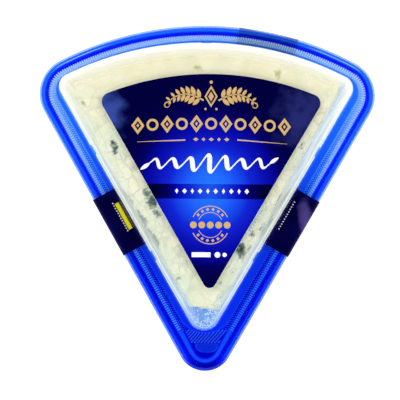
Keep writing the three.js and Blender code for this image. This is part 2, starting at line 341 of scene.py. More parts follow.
def scattered(name, seeds, places):
    """One piece of many copies of small shapes, each at its own place, turn and size."""
    coords, faces, start = [], [], 0
    shapes = [(points_of(seed), [tuple(p.vertices) for p in seed.data.polygons]) for seed in seeds]
    for i, matrix in enumerate(places):
        points, sides = shapes[i % len(shapes)]
        turn = np.array(matrix)
        coords.append(points @ turn[:3, :3].T + turn[:3, 3])
        faces += [tuple(v + start for v in side) for side in sides]
        start += len(points)
    mesh = bpy.data.meshes.new(name)
    mesh.from_pydata(np.concatenate(coords).tolist(), [], faces)
    piece = bpy.data.objects.new(name, mesh)
    bpy.context.scene.collection.objects.link(piece)
    for seed in seeds:
        bpy.data.objects.remove(seed)
    return piece


def given(piece, name, values):
    """Stores one number at each point of a mesh, for its material."""
    attribute = piece.data.attributes.new(name, "FLOAT", "POINT")
    attribute.data.foreach_set("value", np.asarray(values, np.float32))


def points_of(piece):
    coords = np.empty(len(piece.data.vertices) * 3)
    piece.data.vertices.foreach_get("co", coords)
    return coords.reshape(-1, 3)


def normals_of(piece):
    return np.array([v.normal for v in piece.data.vertices])


# ---------------------------------------------------------------- tray and lid

# Inset from the rim's outline, height over the tray's land, tone, and the tip's radius there. The tray's tone
# is how deep its blue is, with painted shade and light in it: deeper in the creases and towards the tip,
# paler at the rear. The lid's is how misted it is, and below 0 how blue its cut edge is, which is painted
# light from the blue tray beside it and painted shade at the tip.
# Tones by Y: a painted highlight line along the middle of the bead, and the land's edge, the gap between the
# knurl's rows and the shelf's edge, each paler at the rear and deeper at the tip as painted light and shade.
BEAD_HIGHLIGHT = [
    (-59.5, 0.96), (-56.5, 0.56), (-26, 0.56), (18, 0.42), (45, 0.42), (47, 0.1), (53, 0.1), (54.5, 0.4),
]
LAND_EDGE = [(-57.1, 0.7), (-55.5, 0.52), (-26, 0.5), (18, 0.12), (44, 0.04)]
ROW_GAP = [(-56.8, 0.97), (-55.5, 0.9), (-53, 0.62), (-26, 0.62), (18, 0.28), (44, 0.06)]
SHELF_EDGE = [(-48.1, 0.86), (-44, 0.6), (-26, 0.6), (18, 0.24), (44, 0.18)]
TRAY_RIM = [
    (0.45, -0.6, (0.36, 0.38, 0.46, 0.9), 9.5), (0.7, -0.6, (0.36, 0.42, 0.56, 0.93), 9.2),
    (1.05, 0.25, (0.54, 0.54, 0.74, 0.95), 8.8), (1.38, 0.25, (0.42, 0.44, 0.6, 0.96), 8.42),
    (1.45, 0.25, BEAD_HIGHLIGHT, 8.35), (1.62, 0.25, BEAD_HIGHLIGHT, 8.18),
    (1.69, 0.25, (0.42, 0.42, 0.62, 0.97), 8.11),
    (2, 0.25, (0.5, 0.48, 0.78, 0.98), 7.8), (2.3, -0.4, (0.72, 0.68, 0.84, 1), 7.4),
    (2.75, -0.4, (0.8, 0.74, 0.93, 0.97), 7), (LAND_START, 0, (0.82, 0.6, 0.9, 0.5), 6.6),
    (3.45, 0, (0.55, 0.2, 0.64, 0.5), 6.3), (3.8, 0, (0.24, 0.1, 0.5, 0.56), 6),
    (4.7, 0, LAND_EDGE, 4.85), (4.95, -0.1, ROW_GAP, 4.65),
    (5.65, -0.1, (0.1, 0.36, 0.93, 1), 4.5), (6.1, -0.1, (0.14, 0.3, 0.92, 0.9), 8),
    (LAND_END - 0.05, -0.1, SHELF_EDGE, 10.3), (LAND_END + 0.1, -0.12, (0.24, 0.24, 0.46, 0.42), 10.3),
    (LAND_END + 0.2, -SHELF_DROP, (0.34, 0.42, 0.64, 0.7), 10.3),
]
LID_RIM = [
    (0, 0.1, (-0.5, -0.5, -0.5, -0.8), 9.9), (0.2, 0.1, (-0.5, -0.5, -0.68, -1), 9.7),
    (0.4, 0.1, (-0.5, -0.5, -0.55, -1), 9.5), (0.5, 0.34, 0, 9.4), (0.75, BEAD_RISE, 0, 9.1),
    (2.25, BEAD_RISE, 0, 7.5), (2.55, 0.45, 0, 7.15), (2.75, 0.45, 0, 7),
    (LAND_START - 0.05, LID_LIFT, 0, 6.65),
    (LAND_END, LID_LIFT, 0, 10.4), (LAND_END + 0.1, LID_LIFT - SHELF_DROP, 0, 10.35),
]
# How misted the lid's shoulder is, from its wall up to its top, at the rear, high, low and at the tip. The
# mist is partly real haze and partly painted highlight: the white at the rear and the bright line near the
# top.
SHOULDER_MIST_AND_HIGHLIGHT = [
    (0.45, 0.95, 1, 0.5), (0.6, 0.85, 0.8, 0.16), (0.85, 0.65, 0.5, 0.06), (0.95, 0.7, 0.6, 0.2),
    (0.97, 0.85, 0.9, 0.7), (0.96, 0.6, 0.6, 0.24), (0.9, 0.5, 0.5, 0.06),
]
FILM_BEND = 0.22


def formed_film(name, upper, thickness):
    """A heat-formed film, from the stations of its upper side, from the rim's edge inwards."""
    lower = other_side(upper, thickness)
    sides = [[station_ring(**s) for s in stations] for stations in (lower, upper)]
    under, over = (eased(rings, FILM_BEND) for rings in sides)
    return shaded(drawn_on(name, under[::-1] + over))


def make_tray():
    return formed_film("blue_tray", [
        *(rim_station(inset, LAND + rise, tone, tip) for inset, rise, tone, tip in TRAY_RIM),
        lid_station(-0.6, LAND - SHELF_DROP, (0.4, 0.44, 0.62, 0.7)),
        lid_station(0.4, LAND - SHELF_DROP, (0.2, 0.24, 0.36, 0.42)),
        lid_station(0.8, LAND - 0.45, (0.12, 0.12, 0.24, 0.38)),
        lid_station(1, LAND - 1, (0.1, 0.1, 0.22, 0.36)),
        lid_station(1.5, FLOOR_TOP + 0.7, (0.06, 0.06, 0.2, 0.32)),
        lid_station(1.75, FLOOR_TOP + 0.15, (0.04, 0.06, 0.2, 0.24)),
        lid_station(2.3, FLOOR_TOP, (0.04, 0.06, 0.2, 0.22)),
    ], TRAY_WALL)


def make_lid():
    wall_foot = FLANGE + 0.5
    wall_top = SHOULDER_TOP - SHOULDER_RADIUS
    wall_inset = (wall_top - wall_foot) * math.tan(WALL_DRAFT)
    shoulder = []
    for turn, tone in zip(np.linspace(0, math.pi / 2, 8)[1:], SHOULDER_MIST_AND_HIGHLIGHT):
        inset = wall_inset + SHOULDER_RADIUS * (1 - math.cos(turn))
        z = wall_top + SHOULDER_RADIUS * math.sin(turn)
        shoulder.append(lid_station(inset, z, tone, NOTCH_TOP_DEPTH * math.cos(turn)))
    return formed_film("clear_lid", [
        *(rim_station(inset, LAND + rise, tone, tip) for inset, rise, tone, tip in LID_RIM),
        lid_station(-0.2, FLANGE - SHELF_DROP, 0),
        # The whiter tones at the wall's foot and top are haze seen edge on together with painted highlight
        # lines; the white over the cheese's edge, strongest at the rear, is painted highlight laid over the
        # shade in the gap between cheese and wall.
        lid_station(-0.05, FLANGE + 0.1, (0.3, 0.1, 0.1, 0.2), NOTCH_DEPTH),
        lid_station(0, wall_foot, (0.5, 0.6, 0.6, 0.4), NOTCH_DEPTH),
        lid_station(0.1, wall_foot + 1.6, (0.15, 0.25, 0.25, 0.15), NOTCH_DEPTH),
        lid_station(0.6, wall_top - 1.6, (0.15, 0.25, 0.25, 0.15), (NOTCH_DEPTH + NOTCH_TOP_DEPTH) / 2),
        lid_station(wall_inset, wall_top, (0.4, 1, 1, 0.7), NOTCH_TOP_DEPTH),
        *shoulder,
        lid_station(PANEL_INSET - 3.2, SHOULDER_TOP, (0.6, 0.55, 0.45, 0.05)),
        lid_station(PANEL_INSET - 1.6, SHOULDER_TOP, (0.3, 0.24, 0.15, 0.02)),
        lid_station(PANEL_INSET - 0.7, SHOULDER_TOP, (0.12, 0.04, 0.02, 0.02)),
        lid_station(PANEL_INSET, PANEL_TOP, 0.02),
    ], LID_WALL)


tray = make_tray()
lid = make_lid()

# ---------------------------------------------------------------- seal

KNURL_PITCH = 0.85
RIB_PITCH = 1.2
RIB_HEADING = math.radians(48.6)
PAD_TOP = -51.8
RIBS_FROM = -47.4
RIB_TONE = 0.89
FAINT_RIGHT = 0.12
BAR_HEIGHT = 0.2
BAR_Z = FLANGE + 0.05


def bar_seed():
    """A low pressed bar of one millimetre, its top narrower than its foot."""
    bpy.ops.mesh.primitive_cube_add(size=1)
    seed = bpy.context.object
    bpy.ops.object.mode_set(mode="EDIT")
    body = bmesh.from_edit_mesh(seed.data)
    for face in body.faces:
        face.select = face.normal.z > 0.5
    bmesh.update_edit_mesh(seed.data)
    bpy.ops.transform.resize(value=(0.86, 0.5, 1))
    bpy.ops.object.mode_set(mode="OBJECT")
    return seed


def knurl_row(inset, tip, length, width, tones, lean=0.0):
    """Bars across the seal, one after another along a ring. The tones are those at the rear, high and low;
    the paler rear is painted light.
    """
    ring = station_ring("rim", inset, 0, 0, tip, 0)[:, :2]
    ring = np.vstack([ring, ring[:1]])
    runs = np.linalg.norm(np.diff(ring, axis=0), axis=1)
    reach = np.concatenate([[0], np.cumsum(runs)])
    count = int(reach[-1] / KNURL_PITCH)
    stops = (np.arange(count) + 0.5) * reach[-1] / count
    x, y = (np.interp(stops, reach, ring[:, i]) for i in (0, 1))
    ahead = np.arctan2(np.gradient(y), np.gradient(x))
    bars, shades = [], []
    for place_x, place_y, heading in zip(x, y, ahead):
        if place_y < RIBS_FROM:
            continue
        turn = Euler((0, 0, heading + math.pi / 2 + lean * (1 if place_x < 0 else -1)))
        long = length * (REAR_LAND_SHARE if abs(math.sin(heading)) < 0.6 else 1)
        bars.append(Matrix.LocRotScale((place_x, place_y, BAR_Z), turn, (long, width, BAR_HEIGHT)))
        fainter = FAINT_RIGHT * (place_x > 0) * smooth(0.5 - place_y / 20)
        shades.append(np.interp(place_y, (-26, 18, 44), tones[::-1]) + fainter)
    return bars, shades


def tip_ribs():
    """Long ribs aslant between the pad and the shelf."""
    outer = station_ring("rim", 5.75, 0, 0, 4.8, 0)[:, :2]
    inner = station_ring("rim", LAND_END - 0.05, 0, 0, 10.4, 0)[:, :2]
    run = np.array([math.cos(RIB_HEADING), math.sin(RIB_HEADING)])
    bars = []
    for start in np.arange(-40, 40, RIB_PITCH):
        line = np.array([(start, PAD_TOP)]) + np.arange(0, 12, 0.1)[:, None] * run
        open_here = inside(line, outer) & ~inside(line, inner) & (line[:, 1] > PAD_TOP + 0.15)
        open_here &= line[:, 1] < RIBS_FROM + 0.6
        ends = np.flatnonzero(np.diff(np.concatenate([[False], open_here, [False]])))
        for first, last in zip(ends[::2], ends[1::2]):
            length = (last - first) * 0.1
            if length > 1:
                x, y = line[first] + run * length / 2
                turn = Euler((0, 0, RIB_HEADING))
                bars.append(Matrix.LocRotScale((x, y, BAR_Z), turn, (length, 0.5, BAR_HEIGHT)))
    return bars


def make_knurl():
    """The seal's rows of pressed bars, and its ribs aslant at the tip, all drawn a little coarser."""
    rows = [
        knurl_row(4.15, 5.8, 1.25, 0.44, (0, 0.1, 0.6)),
        knurl_row(5.3, 5, 0.7, 0.36, (0.1, 0.45, 0.95), 0.3),
        knurl_row(6.05, 5, 0.55, 0.34, (0.15, 0.5, 1), -0.3),
    ]
    ribs = tip_ribs()
    bars = [bar for row in rows for bar in row[0]] + ribs
    shades = [shade for row in rows for shade in row[1]] + [RIB_TONE] * len(ribs)
    seed = bar_seed()
    corners = len(seed.data.vertices)
    piece = scattered("seal_knurl", [seed], bars)
    given(piece, "tone", np.repeat(shades, corners))
    return piece


def make_pad():
    """A D with its straight edge towards the cheese."""
    x, width, height, corner = 0.6, 8.4, 3.2, 2.9
    outline = np.concatenate([
        arc((corner - width / 2, corner - height), corner, math.pi, 1.5 * math.pi, 8),
        arc((width / 2 - corner, corner - height), corner, 1.5 * math.pi, 2 * math.pi, 8),
        [(width / 2, 0), (-width / 2, 0)],
    ]) + (x, PAD_TOP)
    middle = outline.mean(0)
    return shaded(drawn_on("peel_pad", [
        at_height(middle + (outline - middle) * shrink, FLANGE + z, tone)
        for shrink, z, tone in (
            (1, -0.15, 0.8), (1, 0.12, 0.7), (0.95, 0.24, 0.5),
            (0.88, 0.22, 0.56), (0.82, 0.15, 0.64), (0.7, 0.15, 0.65),
        )
    ]))


knurl = make_knurl()
pad = make_pad()

# ---------------------------------------------------------------- cheese

# Mould spots on the shown face: x, y, length, width, heading of the length, strength, pit depth.
SPOTS = [
    (-32.5, 17.7, 4.6, 2.0, -75, 1.0, 1.0),
    (-43.2, 32.7, 2.2, 1.2, -40, 0.75, 0.3),
    (-20.8, 1.6, 4.0, 2.4, -60, 0.75, 0.4),
    (-19.0, -1.5, 5.5, 3.2, -60, 0.9, 0.9),
    (-17.2, -5.4, 3.4, 2.2, -60, 0.7, 0.3),
    (-26.6, -1.2, 3.8, 1.8, -60, 0.8, 0.2),
    (-23.2, -6.9, 5.4, 1.9, -60, 1.15, 0.3),
    (-20.6, -11.5, 4.8, 1.6, -60, 0.85, 0.2),
    (-18.4, -14.9, 5.4, 2.8, -60, 1.05, 0.3),
    (-17.0, -18.2, 3.0, 1.8, -60, 0.55, 0.1),
    (-21.0, -7.8, 1.8, 0.8, -60, 0.7, 0.1),
    (33.6, 19.0, 3.0, 1.6, 60, 0.55, 0.3),
    (28.5, 1.9, 6.0, 1.6, 60, 0.6, 0.3),
    (26.3, -2.2, 4.2, 2.2, 60, 0.75, 0.4),
    (19.6, -10.4, 4.2, 2.6, 60, 0.75, 0.5),
    (15.4, -12.4, 2.8, 2.0, 60, 0.6, 0.3),
    (11.6, -18.2, 5.4, 3.2, 100, 1.0, 1.5),
    (14.4, -17.6, 2.4, 1.6, 60, 0.85, 0.5),
    (-9.7, -28.3, 1.6, 1.2, 0, 0.8, 0.4),
    (-6.8, -23.2, 4.0, 2.4, -60, 0.4, 0.1),
    (8.6, -26.0, 8.0, 2.2, 60, 0.35, 0.1),
    (-0.8, -33.4, 6.0, 1.6, -10, 0.3, 0.2),
    (6.3, -32.6, 6.5, 2.6, 60, 0.42, 0.1),
    (3.6, -29.6, 4.0, 1.8, 60, 0.5, 0.1),
    (-5.9, 49.8, 3.0, 1.8, 30, 0.35, 0.1),
    (-3.4, 45.6, 3.2, 2.2, -30, 0.6, 0.2),
    (24.7, 43.8, 3.4, 2.4, 80, 0.6, 0.3),
]

# Depths of the pressed layers under the rind, each with its strength, and the radius of their corners.
LAYER_LINES = ((2.6, 0.8), (4.6, 1.0), (6.6, 0.7), (8.8, 0.9))
LAYER_BEND = 12
# The cut sides sag outwards low down on the right.
BULGE = 0.8
VOXEL = 0.5


def ripple(points, size, octaves=3, shift=0.0):
    """Soft noise over points, about -1 to 1, with features of that size in millimetres."""
    moved = points / size + shift
    return np.array([noise.fractal(Vector(p), 1.0, 2.0, octaves) for p in moved])


def seams(points, size, shift=0.0):
    """Nearness to the borders of irregular cells, 1 on a border and 0 away from it."""
    out = np.empty(len(points))
    for i, p in enumerate(points / size + shift):
        near = noise.voronoi(Vector(p))[0]
        out[i] = near[1] - near[0]
    return 1 - smooth(out / 0.16)


def cheese_body():
    """The wedge before it is carved: a blunt end, rounded edges, and faces of half a millimetre."""
    levels = [(inset, CHEESE_BOTTOM + rise) for rise, inset in CHEESE_EDGE]
    levels += [(inset, CHEESE_TOP - rise) for rise, inset in reversed(CHEESE_EDGE)]
    turn = np.array(Matrix.Rotation(CHEESE_TURN, 2))
    rings = []
    for inset, z in levels:
        outline = shrunk(CHEESE, inset) @ turn.T
        outline[:, 1] = np.maximum(outline[:, 1], BLUNT_END + inset + BLUNT_SLOPE * outline[:, 0])
        rings.append(at_height(outline, z))
    piece = drawn_on("cheese_wedge", rings)
    size = VOXEL
    return modified(piece, "REMESH", mode="VOXEL", voxel_size=size, adaptivity=0)


def mould_spots(p, top):
    """Spots of mould on the shown face, and how deep they are pitted."""
    flat = p * (1, 1, 0)
    mould, pit = np.zeros(len(p)), np.zeros(len(p))
    ragged = ripple(flat, 1.6) * 0.35 + ripple(flat, 0.7, shift=9) * 0.2
    uneven = 0.85 + 0.5 * ripple(flat, 1.1, shift=33)
    for x, y, length, width, heading, strength, depth in SPOTS:
        turn = math.radians(heading)
        dx, dy = p[:, 0] - x, p[:, 1] - y
        along = (dx * math.cos(turn) + dy * math.sin(turn)) / (length / 2)
        across = (dy * math.cos(turn) - dx * math.sin(turn)) / (width / 2)
        near = smooth((1.9 - np.hypot(along, across) + ragged * 1.8) / 1.5)
        mould = np.maximum(mould, near * strength * uneven * top)
        pit = np.maximum(pit, near**3 * depth * top)
    return mould, pit


def mould_veins(p, top, side, end, rearward):
    """Winding sheets of mould through the paste, seen where the knife cut them, and pockets along them."""
    wind = 1 - smooth(np.abs(ripple(p, 9.0, 4, 3.0)) / 0.13)
    where = smooth((ripple(p, 14.0, 2, 21.0) + 0.12) / 0.3)
    pocket = smooth((ripple(p, 4.2, 2, 40.0) - 0.34) / 0.16)
    veins = np.maximum(wind * where * 0.8, pocket)
    to_tip = smooth((14 - p[:, 1]) / 34)
    haze = smooth((ripple(p, 7.0, 3, 90.0) + 0.05) / 0.5)
    mould = np.maximum.reduce([
        veins * side * (1 - end * 0.5) * (1 - 0.8 * rearward),
        veins * top * (0.06 + 0.16 * to_tip),
        haze * top * to_tip * 0.1,
    ])
    return mould, (pocket * 1.1 + wind * where * 0.35) * side


def curd_cracks(p, top, rearward):
    """Cracks between lumps of curd that lie along the slanting sides."""
    flat = p * (1, 1, 0)
    turned = flat.copy()
    left = p[:, 0] < CHEESE["axis"]
    for mask, heading in ((left, -60), (~left, 60)):
        turn = math.radians(heading)
        x, y = p[mask, 0], p[mask, 1]
        turned[mask, 0] = x * math.cos(turn) + y * math.sin(turn)
        turned[mask, 1] = (y * math.cos(turn) - x * math.sin(turn)) * 0.62
    crack = seams(turned, 4.2, 4.0)
    crack = crack * (0.35 + 0.65 * smooth((ripple(flat, 6.0, 2, 60.0) + 0.15) / 0.3))
    return crack * top * (1 - 0.85 * rearward)


def pressed_layers(p, top, rearward):
    """Layers where the curd was pressed, parallel to the rind at the rear."""
    flat = p * (1, 1, 0)
    from_rind = CHEESE["rear_radius"] - np.hypot(
        p[:, 0] - CHEESE["axis"], p[:, 1] - CHEESE["rear"] + CHEESE["rear_radius"],
    )
    layered = np.column_stack([p[:, 0] / 12, from_rind / 1.3, np.zeros(len(p))])
    layer = smooth((ripple(layered, 1.0, 2, 30.0) - 0.05) / 0.3) * rearward * top
    from_side = -past_side(CHEESE, p[:, 0], p[:, 1])
    depth = np.where(
        (from_rind < LAYER_BEND) & (from_side < LAYER_BEND),
        LAYER_BEND - np.hypot(LAYER_BEND - from_rind, LAYER_BEND - from_side),
        np.minimum(from_rind, from_side),
    ) + 0.5 * ripple(flat, 9.0, 2, 12.0)
    for place, strength in LAYER_LINES:
        line = 1 - smooth(np.abs(depth - place) / 0.34)
        broken = smooth((ripple(flat, 7.0, 2, 50.0 + place) + 0.3) / 0.3)
        layer = np.maximum(layer * 0.6, line * broken * strength * smooth((p[:, 1] - 22) / 10) * top)
    return layer


def make_cheese():
    piece = cheese_body()
    p, n = points_of(piece), normals_of(piece)
    top = smooth((n[:, 2] - 0.3) / 0.5)
    side = smooth((0.8 - np.abs(n[:, 2])) / 0.4)
    end = side * smooth((-n[:, 1] - 0.75) / 0.2) * (p[:, 1] < -34)
    rearward = smooth((p[:, 1] - 34) / 8)
    mould, pit = np.maximum(mould_spots(p, top), mould_veins(p, top, side, end, rearward))
    crack = np.maximum(curd_cracks(p, top, rearward), pressed_layers(p, top, rearward) * 0.6)

    # The knife leaves its cut sides rough, and the blunt end is torn rather than cut.
    inward = pit + 0.12 * crack + 0.10 * (1 + ripple(p, 2.4, 3, 70.0)) * 0.5 + 0.12 * side
    inward += end * (0.7 * (1 + ripple(p, 2.2, 3, 80.0)) + 0.5 * seams(p, 2.6, 5.0)) * 0.7
    p = p - n * inward[:, None]
    p[:, 0] += BULGE * smooth((p[:, 0] + 2) / 8) * smooth((12 - p[:, 1]) / 20)
    p[:, 2] = np.clip(p[:, 2], CHEESE_BOTTOM, CHEESE_TOP + 0.05)
    piece.data.vertices.foreach_set("co", p.reshape(-1))
    piece.data.update()
    given(piece, "mould", np.clip(mould, 0, 1))
    # The crack attribute darkens the paste in its material: painted shade in the cracks.
    given(piece, "crack", np.clip(crack * 0.6, 0, 1))
    only(piece)
    bpy.ops.object.shade_smooth()
    return piece


cheese = make_cheese()

# ---------------------------------------------------------------- labels

ARM_PLACE = 70.2
ARM_WIDTH = 22.6
ARM_CLIMB = 11
TAB_HEADING = math.radians(11.1)
TAB_WIDTH = 21.4
PANEL_MARGIN = 5.4
# Paper reaches this far in under the pan, leaves the floor, and stands off the rim and the lid's wall.
UNDER_PAN = 8
ARM_LEAVES_FLOOR = 1.3
TAB_LEAVES_FLOOR = 1.6
OFF_RIM = 0.07
OFF_WALL = 0.35
UNDER_RIM = LAND - 1.35
PAPER_BEND = 0.5
ARM_TOP = FLANGE + GAP + PAPER
LABEL_BOTTOM = PANEL_TOP + GAP
LABEL_TOP = LABEL_BOTTOM + PAPER
FIELD_TOP = LABEL_TOP + 0.02


def sheet_on(name, section, width, edge, heading):
    """A strip of paper. Its section is an inset from the rim's edge and a height, for the side that shows."""
    section = np.array(section, float)
    section = np.concatenate(eased([np.array([[inset, z, 0, 0]]) for inset, z in section], PAPER_BEND))[:, :2]
    inward = np.array([heading[0], heading[1], 0])
    sideways = np.cross(inward, (0, 0, 1))
    edge = np.array([edge[0], edge[1], 0])
    places = np.linspace(-0.5, 0.5, 25) * width
    rows = [[edge + inward * inset + (0, 0, z) + sideways * place for place in places]
            for inset, z in section]
    piece = strip(name, rows)
    modified(piece, "SOLIDIFY", thickness=PAPER, offset=-1, use_even_offset=True)
    front = len(rows) * len(rows[0])
    given(piece, "bare", [float(v.index >= front) for v in piece.data.vertices])
    return piece


def make_arm(side):
    turn = math.radians(RIM["angle"])
    heading = (-side * math.cos(turn), math.sin(turn))
    edge = (side * math.sin(turn) * ARM_PLACE, math.cos(turn) * ARM_PLACE + RIM["apex"])
    foot = past_side(LID, *edge)
    bead_top = LAND + BEAD_RISE + GAP + PAPER
    climb = foot - OFF_WALL - PAPER
    return sheet_on("arm", [
        (foot + UNDER_PAN, 0),
        (foot + ARM_LEAVES_FLOOR, 0),
        (-OFF_RIM - PAPER, LAND - 1.6),
        (-OFF_RIM - PAPER, FLANGE - 0.1),
        (0.6, bead_top),
        (2.6, bead_top),
        (LAND_START + 1, ARM_TOP),
        (climb - 0.3, ARM_TOP),
        (climb, ARM_TOP + 0.5),
        (climb + ARM_CLIMB * math.tan(WALL_DRAFT), ARM_TOP - PAPER + ARM_CLIMB),
    ], ARM_WIDTH, edge, heading)


def make_tab():
    outwards = np.array([math.sin(TAB_HEADING), math.cos(TAB_HEADING)])
    edge = np.array([0, RIM["rear"] - RIM["rear_radius"]]) + outwards * RIM["rear_radius"]
    foot = RIM["rear"] - LID["rear"]
    return sheet_on("tab", [
        (foot + UNDER_PAN, 0),
        (foot + TAB_LEAVES_FLOOR, 0),
        (foot + 0.55, 0.7),
        (foot - 0.1, UNDER_RIM - PAPER),
        (0.3, UNDER_RIM - PAPER),
    ], TAB_WIDTH, edge, -outwards)


def make_back_label():
    outline = shrunk(LID, PANEL_MARGIN, tip=3, corner=4)
    panel = drawn_on("panel", [at_height(outline, 0), at_height(outline, PAPER)])
    given(panel, "bare", points_of(panel)[:, 2] > PAPER / 2)
    return shaded(joined("back_label", [panel, make_arm(-1), make_arm(1), make_tab()]), 40)


def make_front_label():
    paper = drawn_on("front_label", [
        at_height(shrunk(FRONT, inset), z)
        for inset, z in ((0, LABEL_BOTTOM), (0, LABEL_BOTTOM + 0.2), (0.06, LABEL_TOP))
    ])
    field = drawn_on("front_label_field", [
        at_height(shrunk(FRONT, 0.04, corner=3.2), z) for z in (LABEL_TOP - 0.06, FIELD_TOP)
    ])
    return shaded(paper), shaded(field)


back_label = make_back_label()
front_label, front_field = make_front_label()

# ---------------------------------------------------------------- print on the labels

PRINT_RISE = 0.03
CREST = (1.3, 35.6)
RING = (1.4, -9.3)


def ribbon(path, halves):
    """The outline of a stroke along a path, with its half width at each point."""
    path, halves = np.array(path, float), np.array(halves, float)[:, None]
    run = np.gradient(path, axis=0)
    run /= np.linalg.norm(run, axis=1)[:, None]
    across = np.column_stack([-run[:, 1], run[:, 0]]) * halves
    return np.concatenate([path - across, (path + across)[::-1]])


def lozenge(x, y, width, height):
    return np.array([(x, y - height / 2), (x + width / 2, y), (x, y + height / 2), (x - width / 2, y)])


def disc(x, y, radius, steps=20):
    return arc((x, y), radius, 0, 2 * math.pi, steps)[:-1]


def leaf(x, y, length, width, heading):
    """A pointed oval that starts at a place and grows along a heading in degrees."""
    share = np.linspace(0, 1, 9)
    turn = math.radians(heading)
    path = np.array([(x, y)]) + share[:, None] * length * np.array([(math.cos(turn), math.sin(turn))])
    return ribbon(path, 0.02 + width / 2 * np.sin(share * math.pi) ** 0.8)


def printed(name, solid, hollow=(), floor=FIELD_TOP):
    """Flat print as one thin piece. A hollow shape is an outline and the share of it that is left open."""
    top = floor + PRINT_RISE
    parts = [drawn_on(name, [at_height(outline, z) for z in (floor, top)]) for outline in solid]
    for outline, share in hollow:
        middle = outline.mean(0)
        hole = middle + (outline - middle) * share
        walls = ((hole, floor), (outline, floor), (outline, top), (hole, top))
        parts.append(drawn_on(name, [at_height(*wall) for wall in walls], holed=True))
    return joined(name, parts)


def spray(side):
    """A curled stem with leaves on both sides of it, as one half of the crest."""
    share = np.linspace(0, 1, 30)
    reach = 2.6 + 12.6 * share
    height = 34.2 + 3.6 * np.sin(share * 2.6) - 2.6 * share
    path = np.column_stack([CREST[0] + side * reach, height])
    shapes = [ribbon(path, 0.14 + 0.16 * (1 - share))]
    for i, long in ((3, 3.4), (7, 3.6), (11, 3.2), (15, 2.9), (19, 2.5), (23, 2.1), (27, 1.8)):
        x, y = path[i]
        for lean in (62, -58):
            heading = lean if side > 0 else 180 - lean
            shapes.append(leaf(x, y, long, long * 0.42, heading - side * 25 * (i - 12) / 15))
    tail = np.linspace(0, 1.6 * math.pi, 16)
    curl = np.column_stack([side * np.sin(tail), np.cos(tail) - 1]) * (1.2 - 0.1 * tail)[:, None]
    shapes.append(ribbon(path[-1] + curl, 0.22 - 0.03 * tail))
    return shapes


def make_gold_print():
    """A crest of leaf sprays, a border of lozenges and rings, two rules, and five discs in a broken ring."""
    solid = spray(-1) + spray(1)
    hollow = [(lozenge(*CREST, 4.6, 7.6), 0.72)]
    solid += [lozenge(*CREST, 2.0, 3.4), disc(1.3, 40.6, 0.55), disc(-0.6, 31.2, 0.4), disc(3.2, 31.2, 0.4)]
    for i in range(11):
        x = -24.2 + 5.12 * i
        y = 25.2 + 0.9 * (1 - ((i - 5) / 5) ** 2)
        if i % 2:
            hollow.append((disc(x, y, 2.1, 28), 0.6))
        else:
            hollow.append((lozenge(x, y, 4.6, 6.2), 0.52))
            solid.append(lozenge(x, y, 1.0, 1.5))
    for start, end in (((-24.4, 19.5), (-7.6, 20.3)), ((10.6, 20.5), (28, 19.2))):
        share = np.linspace(0, 1, 9)[:, None]
        path = np.array(start) * (1 - share) + np.array(end) * share
        thick = share[:, 0] if start[0] < 0 else 1 - share[:, 0]
        solid.append(ribbon(path, 0.05 + 0.2 * thick))
    for i in range(5):
        solid.append(lozenge(-3.9 + 2.7 * i, 20.6, 1.3 if i % 2 else 1.9, 1.3))
    solid += [disc(-4.5 + 2.95 * i, RING[1], 1.2) for i in range(5)]
    for start in (25, 205):
        turn = np.radians(np.linspace(start, start + 130, 25))
        for radius, half in ((6.6, 0.16), (4.4, 0.12)):
            line = np.column_stack([RING[0] + radius * np.cos(turn), RING[1] + radius * np.sin(turn)])
            solid.append(ribbon(line, np.full(25, half)))
        for angle in np.radians(np.arange(start + 15, start + 130, 20)):
            solid.append(lozenge(RING[0] + 5.5 * math.cos(angle), RING[1] + 5.5 * math.sin(angle), 1.2, 1.2))
    return printed("gold_print", solid, hollow)


def make_white_print():
    """A flourish drawn with a broad pen, a row of lozenges in the band, and a short bar with two dots."""
    share = np.linspace(0, 1, 220)
    swell = np.sin(share * math.pi) ** 0.35
    phase = 2 * math.pi * 7 * share
    lift = 3.1 * swell * np.sin(phase) * (0.78 + 0.22 * np.cos(phase * 2 / 7))
    path = np.column_stack([-20 + 42 * share + 0.34 * lift, 12.2 + lift])
    down = 0.5 - 0.5 * np.cos(phase)
    halves = 0.22 + 0.62 * smooth(down) * swell
    solid = [ribbon(path, halves)]
    solid += [leaf(-19.8, 12.2, 4.2, 1.3, 215), leaf(21.8, 12.2, 4.0, 1.2, 35)]
    for i in range(10):
        solid.append(lozenge(-10.4 + 2.72 * i, 2.5, 1.6 if i % 2 else 1.1, 1.9))
    solid.append(ribbon([(-5.0, -19.7), (1.6, -19.7)], (0.85, 0.85)))
    solid += [disc(4.0, -19.7, 1.0), disc(6.5, -19.7, 0.75)]
    return printed("white_print", solid)


def make_side_print():
    """A fine dotted line up the label's right edge."""
    turn = math.radians(60)
    return printed("side_print", [
        disc(15.4 + 1.15 * i * math.cos(turn), -11.2 + 1.15 * i * math.sin(turn), 0.3, 8) for i in range(8)
    ])


def along_rim(side, inset, length):
    """A point on the rim's left or right side, from an inset and a distance along it from its apex."""
    turn = math.radians(RIM["angle"])
    x = math.sin(turn) * length - math.cos(turn) * inset
    y = RIM["apex"] + math.cos(turn) * length + math.sin(turn) * inset
    return side * x, y


def make_arm_print():
    """A short yellow stripe on the left arm, and a row of small white squares on each arm."""
    yellow = [ribbon([along_rim(-1, 6.8, place) for place in (66, 76.5)], (0.85, 0.85))]
    white = []
    for side, inset in ((-1, 5.4), (1, 7.6)):
        white += [disc(*along_rim(side, inset, 66 + i), 0.32, 4) for i in range(12)]
    return printed("yellow_print", yellow, floor=ARM_TOP), printed("arm_print", white, floor=ARM_TOP)


gold_print = make_gold_print()
white_print = make_white_print()
side_print = make_side_print()
yellow_print, arm_print = make_arm_print()

# ---------------------------------------------------------------- droplets and crumbs

